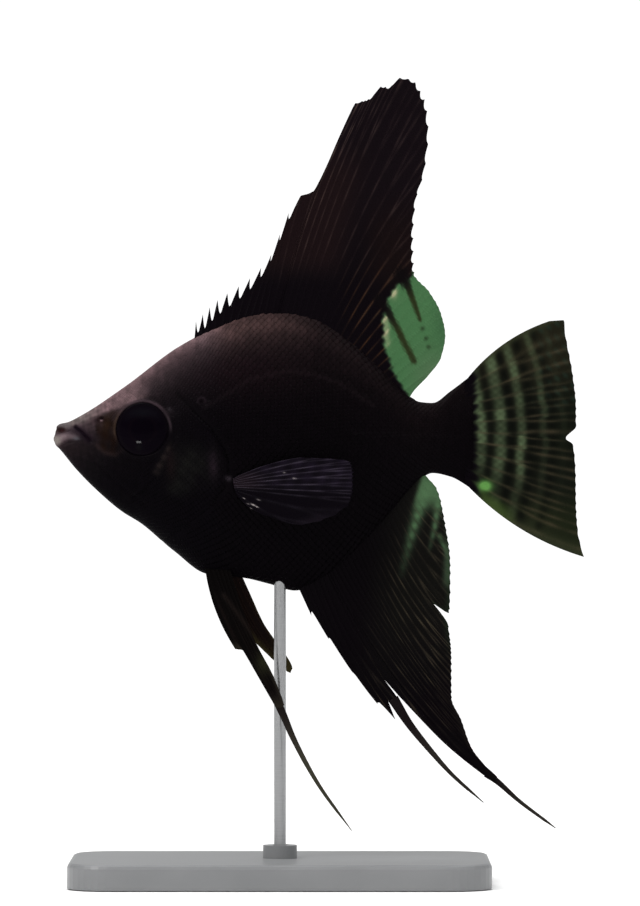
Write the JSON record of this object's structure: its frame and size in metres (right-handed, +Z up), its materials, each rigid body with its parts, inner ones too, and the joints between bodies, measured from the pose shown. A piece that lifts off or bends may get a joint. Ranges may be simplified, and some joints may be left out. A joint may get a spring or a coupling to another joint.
{
  "type": "freshwater angelfish on a display stand",
  "caption": "Still life-size freshwater angelfish, black form, with spread fins and trailing streamers, held up by one slim rod on a flat base.",
  "frame": {"origin": "centre of the stand's underside, below the rod, on the surface that it stands on", "axes": "+Z up, +X towards the fish's tail, +Y towards the fish's right side"},
  "size_m": [0.106, 0.046, 0.1612],
  "materials": {
    "skin": "satin, finely scaled",
    "gill_covers": "satin with a faint metallic sheen",
    "eyes": "wet gloss",
    "fins": "thin, ribbed with rays",
    "stand_base": "satin pale grey enamel",
    "stand_rod": "fine brushed"
  },
  "bodies": {
    "root": {"head": "skin", "trunk": "skin", "tail_stalk": "skin", "gill_cover_left": "gill_covers", "gill_cover_right": "gill_covers", "eye_left": "eyes", "eye_right": "eyes", "dorsal_fin": "fins", "anal_fin": "fins", "tail_fin": "fins", "pectoral_fin_left": "fins", "pectoral_fin_right": "fins", "pelvic_fin_left": "fins", "pelvic_fin_right": "fins", "stand_base": "stand_base", "stand_rod": "stand_rod"}
  },
  "joints": []
}
